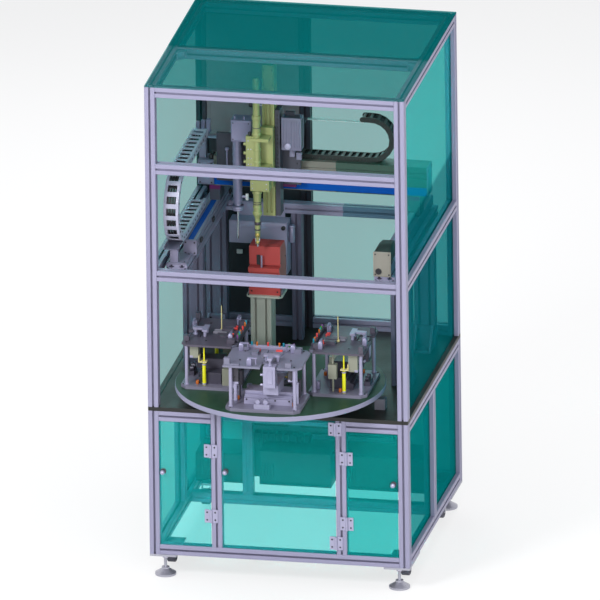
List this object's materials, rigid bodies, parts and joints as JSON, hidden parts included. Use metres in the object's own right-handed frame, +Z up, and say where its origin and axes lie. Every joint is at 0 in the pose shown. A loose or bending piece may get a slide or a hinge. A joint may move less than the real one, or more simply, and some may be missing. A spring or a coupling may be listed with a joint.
{
  "type": "screw fastening machine",
  "caption": "Free-standing screw fastening cell: profile frame with teal panels, rotary jig table, gantry with driver spindle and probe, screw feeder, cabinet doors below",
  "frame": {"origin": "the point on the floor at the centre of the levelling feet", "axes": "+Z up, +X to the machine's right as seen from the front, -Y the front that the table overhangs"},
  "size_m": [1, 1.268, 1.972],
  "materials": {
    "profile": "anodised satin extrusion",
    "foot_steel": "zinc plated",
    "caster_steel": "zinc plated",
    "caster_tread": "matt",
    "table_plate": "ground plate",
    "teal_panel": "see-through teal acrylic",
    "dark_panel": "matt",
    "hinge_metal": "cast, satin",
    "panel_box": "matt",
    "module": "anodised",
    "strip": "semi gloss",
    "chain": "moulded",
    "chain_dark": "moulded",
    "column": "anodised",
    "feeder_red": "semi gloss",
    "supply_box": "matt",
    "drive": "painted",
    "disc": "dark green coat",
    "jig_plate": "anodised",
    "jig_metal": "machined",
    "sensor": "moulded",
    "damper": "semi gloss",
    "bridge": "anodised",
    "magenta": "satin",
    "motor": "satin",
    "driver": "satin",
    "probe": "machined",
    "tool_steel": "hardened"
  },
  "bodies": {
    "frame": {"lower_posts": "profile", "lower_rails": "profile", "foot_plates": "foot_steel", "levelling_feet": "foot_steel", "table_plate": "table_plate", "upper_posts": "profile", "upper_rails": "profile", "top_panel": "teal_panel", "side_panels": "teal_panel", "lower_panels": "teal_panel", "back_panel_clear": "teal_panel", "back_panel_dark": "dark_panel", "hinge_frame_leaves": "hinge_metal", "control_panel": "panel_box", "gantry_posts": "profile", "gantry_beams": "profile", "y_module": "module", "y_strip": "strip", "y_guide": "module", "chain_y": "chain", "feeder_column": "column", "feeder": "feeder_red", "feeder_box": "supply_box", "index_drive": "drive"},
    "left_door": {"door_left": "teal_panel", "door_left_fittings": "hinge_metal"},
    "middle_door": {"door_middle": "teal_panel", "door_middle_fittings": "hinge_metal"},
    "right_door": {"door_right": "teal_panel", "door_right_fittings": "hinge_metal"},
    "turntable": {"turntable_disc": "disc", "jig_base_plates": "jig_plate", "jig_posts": "jig_metal", "jig_top_plates": "jig_plate", "jig_cylinders": "jig_metal", "jig_sensors": "sensor", "jig_dampers": "damper"},
    "front_clamp": {"clamp_front": "jig_metal"},
    "left_clamp": {"clamp_left": "jig_metal"},
    "right_clamp": {"clamp_right": "jig_metal"},
    "bridge": {"x_beam": "bridge", "x_strip": "strip", "y_sliders": "magenta", "x_motor": "motor", "chain_x": "chain_dark"},
    "x_carriage": {"x_slider": "magenta", "tool_plate": "motor", "z_module": "driver", "probe_body": "probe"},
    "z_carriage": {"driver_body": "driver"},
    "bit": {"driver_bit": "tool_steel"},
    "probe": {"probe_rod": "tool_steel"},
    "front_left_fork": {"caster_fork_front_left": "caster_steel"},
    "front_left_wheel": {"caster_wheel_front_left": "caster_tread"},
    "front_right_fork": {"caster_fork_front_right": "caster_steel"},
    "front_right_wheel": {"caster_wheel_front_right": "caster_tread"},
    "rear_left_fork": {"caster_fork_rear_left": "caster_steel"},
    "rear_left_wheel": {"caster_wheel_rear_left": "caster_tread"},
    "rear_right_fork": {"caster_fork_rear_right": "caster_steel"},
    "rear_right_wheel": {"caster_wheel_rear_right": "caster_tread"}
  },
  "joints": [
    {"name": "left_door_hinge", "type": "hinge", "parent": "frame", "child": "left_door", "pos_m": [-0.261, -0.505, 0.385], "axis": [0, 0, 1], "range_deg": [0, 90]},
    {"name": "middle_door_hinge", "type": "hinge", "parent": "frame", "child": "middle_door", "pos_m": [0.219, -0.505, 0.4], "axis": [0, 0, 1], "range_deg": [0, 90]},
    {"name": "right_door_hinge", "type": "hinge", "parent": "frame", "child": "right_door", "pos_m": [0.261, -0.505, 0.385], "axis": [0, 0, -1], "range_deg": [0, 90]},
    {"name": "turntable_spin", "type": "hinge", "parent": "frame", "child": "turntable", "pos_m": [-0.015, -0.37, 0.755], "axis": [0, 0, 1], "continuous": true},
    {"name": "y_slide", "type": "slide", "parent": "frame", "child": "bridge", "axis": [0, 1, 0], "range_m": [-0.24, 0], "deforming": ["chain_y"]},
    {"name": "x_slide", "type": "slide", "parent": "bridge", "child": "x_carriage", "axis": [1, 0, 0], "range_m": [-0.03, 0.25], "deforming": ["chain_x"]},
    {"name": "z_slide", "type": "slide", "parent": "x_carriage", "child": "z_carriage", "axis": [0, 0, 1], "range_m": [-0.16, 0.06]},
    {"name": "bit_spin", "type": "hinge", "parent": "z_carriage", "child": "bit", "pos_m": [-0.17, -0.012, 1.23], "axis": [0, 0, 1], "continuous": true},
    {"name": "probe_slide", "type": "slide", "parent": "x_carriage", "child": "probe", "axis": [0, 0, 1], "range_m": [-0.06, 0]},
    {"name": "front_clamp_slide", "type": "slide", "parent": "turntable", "child": "front_clamp", "axis": [0, 0, 1], "range_m": [0, 0.02]},
    {"name": "left_clamp_slide", "type": "slide", "parent": "turntable", "child": "left_clamp", "axis": [0, 0, 1], "range_m": [0, 0.02]},
    {"name": "right_clamp_slide", "type": "slide", "parent": "turntable", "child": "right_clamp", "axis": [0, 0, 1], "range_m": [0, 0.02]},
    {"name": "front_left_swivel", "type": "hinge", "parent": "frame", "child": "front_left_fork", "pos_m": [-0.45, -0.345, 0.084], "axis": [0, 0, 1], "continuous": true},
    {"name": "front_left_wheel_spin", "type": "hinge", "parent": "front_left_fork", "child": "front_left_wheel", "pos_m": [-0.45, -0.323, 0.035], "axis": [1, 0, 0], "continuous": true},
    {"name": "front_right_swivel", "type": "hinge", "parent": "frame", "child": "front_right_fork", "pos_m": [0.45, -0.345, 0.084], "axis": [0, 0, 1], "continuous": true},
    {"name": "front_right_wheel_spin", "type": "hinge", "parent": "front_right_fork", "child": "front_right_wheel", "pos_m": [0.45, -0.323, 0.035], "axis": [1, 0, 0], "continuous": true},
    {"name": "rear_left_swivel", "type": "hinge", "parent": "frame", "child": "rear_left_fork", "pos_m": [-0.45, 0.345, 0.084], "axis": [0, 0, 1], "continuous": true},
    {"name": "rear_left_wheel_spin", "type": "hinge", "parent": "rear_left_fork", "child": "rear_left_wheel", "pos_m": [-0.45, 0.323, 0.035], "axis": [1, 0, 0], "continuous": true},
    {"name": "rear_right_swivel", "type": "hinge", "parent": "frame", "child": "rear_right_fork", "pos_m": [0.45, 0.345, 0.084], "axis": [0, 0, 1], "continuous": true},
    {"name": "rear_right_wheel_spin", "type": "hinge", "parent": "rear_right_fork", "child": "rear_right_wheel", "pos_m": [0.45, 0.323, 0.035], "axis": [1, 0, 0], "continuous": true}
  ]
}
